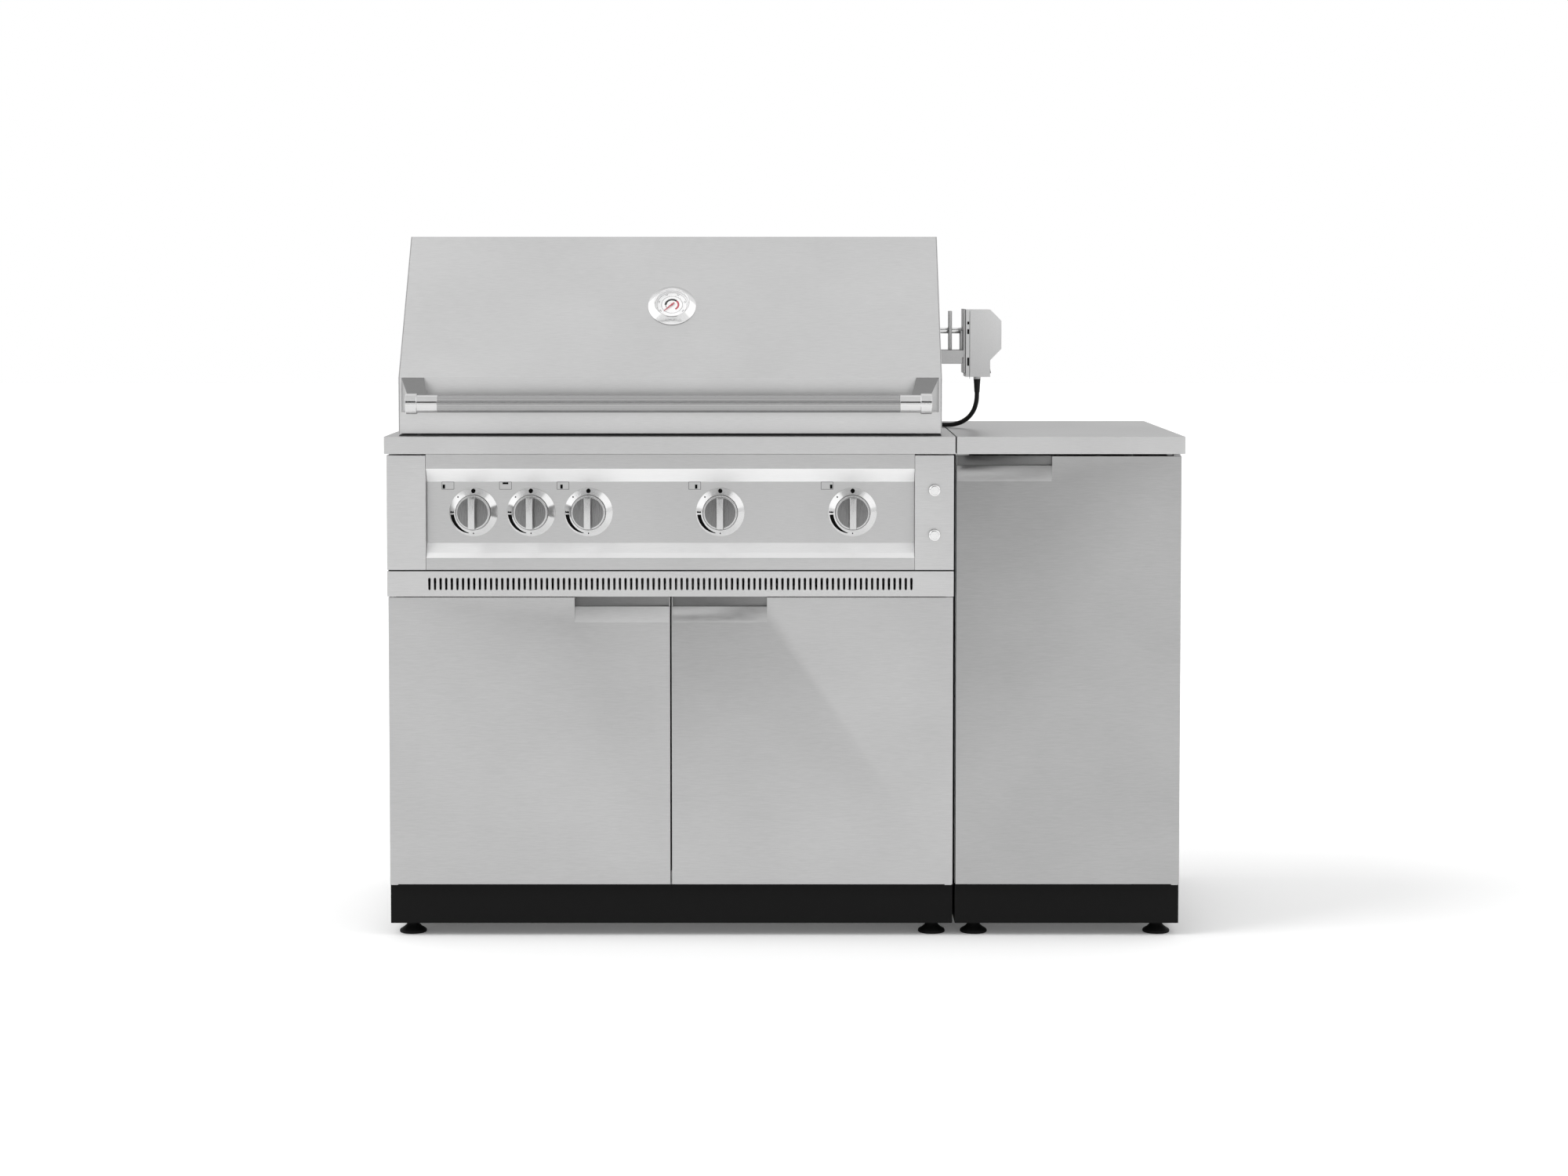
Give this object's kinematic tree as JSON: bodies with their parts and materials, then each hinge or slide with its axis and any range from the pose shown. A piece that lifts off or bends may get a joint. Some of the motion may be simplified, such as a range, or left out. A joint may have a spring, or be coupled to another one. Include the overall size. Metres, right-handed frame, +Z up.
{
  "type": "outdoor kitchen island",
  "caption": "Outdoor kitchen island: built-in gas grill with a hood and a rotisserie over a cabinet with doors, beside a matching side cabinet.",
  "frame": {"origin": "centre of the floor under the cabinets, hood handle and worktops, at the feet's undersides", "axes": "+X along the front towards the side cabinet, +Y from the front to the back, +Z up"},
  "size_m": [1.4244, 0.72, 1.263],
  "materials": {
    "brushed_steel": "brushed stainless sheet",
    "polished_steel": "polished stainless",
    "black_paint": "satin black powder coat",
    "cast_grey": "satin grey metallic",
    "black_rubber": "matt black flexible cord and plug",
    "black_plastic": "matt black switch",
    "dial_white": "white printed dial",
    "needle_red": "red pointer",
    "gauge_glass": "clear flat glass"
  },
  "bodies": {
    "cabinet": {"grill_worktop": "brushed_steel", "grill_base": "black_paint", "grill_side_left": "brushed_steel", "grill_side_right": "brushed_steel", "grill_back": "brushed_steel", "grill_floor": "brushed_steel", "left_stile": "brushed_steel", "right_stile": "brushed_steel", "vent_panel": "brushed_steel", "control_panel": "brushed_steel", "gas_manifold": "cast_grey", "fire_box": "brushed_steel", "grease_funnel": "brushed_steel", "burners": "brushed_steel", "flame_tamer_1": "brushed_steel", "flame_tamer_2": "brushed_steel", "flame_tamer_3": "brushed_steel", "flame_tamer_4": "brushed_steel", "grate_1": "polished_steel", "grate_2": "polished_steel", "grate_3": "polished_steel", "grate_4": "polished_steel", "rear_burner": "cast_grey", "rotisserie_bracket": "cast_grey", "rotisserie_motor": "cast_grey", "motor_cord": "black_rubber", "plug": "black_rubber", "side_worktop": "brushed_steel", "side_base": "black_paint", "side_panel_left": "brushed_steel", "side_panel_right": "brushed_steel", "side_back": "brushed_steel", "side_floor": "brushed_steel", "side_shelf": "brushed_steel"},
    "hood": {"hood_skin": "brushed_steel", "hood_side_left": "brushed_steel", "hood_side_right": "brushed_steel", "handle_bracket_left": "polished_steel", "handle_bracket_right": "polished_steel", "handle_tube": "brushed_steel", "gauge_bezel": "polished_steel", "gauge_dial": "dial_white", "gauge_glass": "gauge_glass"},
    "needle": {"gauge_needle": "needle_red"},
    "left_door": {"left_door": "brushed_steel", "left_door_liner": "brushed_steel"},
    "right_door": {"right_door": "brushed_steel", "right_door_liner": "brushed_steel"},
    "side_door": {"side_door": "brushed_steel", "side_door_liner": "brushed_steel"},
    "knob_1": {"knob_1": "polished_steel"},
    "knob_2": {"knob_2": "polished_steel"},
    "knob_3": {"knob_3": "polished_steel"},
    "knob_4": {"knob_4": "polished_steel"},
    "knob_5": {"knob_5": "polished_steel"},
    "upper_button": {"upper_button": "polished_steel"},
    "lower_button": {"lower_button": "polished_steel"},
    "drip_tray": {"drip_tray": "brushed_steel"},
    "spit": {"spit": "polished_steel"},
    "motor_switch": {"motor_switch": "black_plastic"}
  },
  "joints": [
    {"name": "hood_open", "type": "hinge", "parent": "cabinet", "child": "hood", "pos_m": [-0.2042, 0.23925, 1.06], "axis": [-1, 0, 0], "range_deg": [0, 75]},
    {"name": "needle_turn", "type": "hinge", "parent": "hood", "child": "needle", "pos_m": [-0.2042, -0.15325, 1.13625], "axis": [0, 0.7926, -0.6097], "range_deg": [0, 270]},
    {"name": "left_door_open", "type": "hinge", "parent": "cabinet", "child": "left_door", "pos_m": [-0.7032, -0.23375, 0.35485], "axis": [0, 0, -1], "range_deg": [0, 105]},
    {"name": "right_door_open", "type": "hinge", "parent": "cabinet", "child": "right_door", "pos_m": [0.2948, -0.23375, 0.35485], "axis": [0, 0, 1], "range_deg": [0, 105]},
    {"name": "side_door_open", "type": "hinge", "parent": "cabinet", "child": "side_door", "pos_m": [0.7032, -0.23375, 0.4818], "axis": [0, 0, 1], "range_deg": [0, 105]},
    {"name": "knob_1_turn", "type": "hinge", "parent": "cabinet", "child": "knob_1", "pos_m": [-0.5572, -0.24075, 0.7675], "axis": [0, -1, 0], "range_deg": [0, 180]},
    {"name": "knob_2_turn", "type": "hinge", "parent": "cabinet", "child": "knob_2", "pos_m": [-0.4542, -0.24075, 0.7675], "axis": [0, -1, 0], "range_deg": [0, 180]},
    {"name": "knob_3_turn", "type": "hinge", "parent": "cabinet", "child": "knob_3", "pos_m": [-0.3512, -0.24075, 0.7675], "axis": [0, -1, 0], "range_deg": [0, 180]},
    {"name": "knob_4_turn", "type": "hinge", "parent": "cabinet", "child": "knob_4", "pos_m": [-0.1152, -0.24075, 0.7675], "axis": [0, -1, 0], "range_deg": [0, 180]},
    {"name": "knob_5_turn", "type": "hinge", "parent": "cabinet", "child": "knob_5", "pos_m": [0.1218, -0.24075, 0.7675], "axis": [0, -1, 0], "range_deg": [0, 180]},
    {"name": "upper_button_press", "type": "slide", "parent": "cabinet", "child": "upper_button", "axis": [0, 1, 0], "range_m": [0, 0.003], "stiffness_N_per_m": 400},
    {"name": "lower_button_press", "type": "slide", "parent": "cabinet", "child": "lower_button", "axis": [0, 1, 0], "range_m": [0, 0.003], "stiffness_N_per_m": 400},
    {"name": "drip_tray_slide", "type": "slide", "parent": "cabinet", "child": "drip_tray", "axis": [0, -1, 0], "range_m": [0, 0.15]},
    {"name": "spit_spin", "type": "hinge", "parent": "cabinet", "child": "spit", "pos_m": [-0.2042, 0.01925, 1.089], "axis": [1, 0, 0], "continuous": true},
    {"name": "switch_rock", "type": "hinge", "parent": "cabinet", "child": "motor_switch", "pos_m": [0.3806, 0.01925, 1.0202], "axis": [0, 1, 0], "range_deg": [0, 10]}
  ]
}
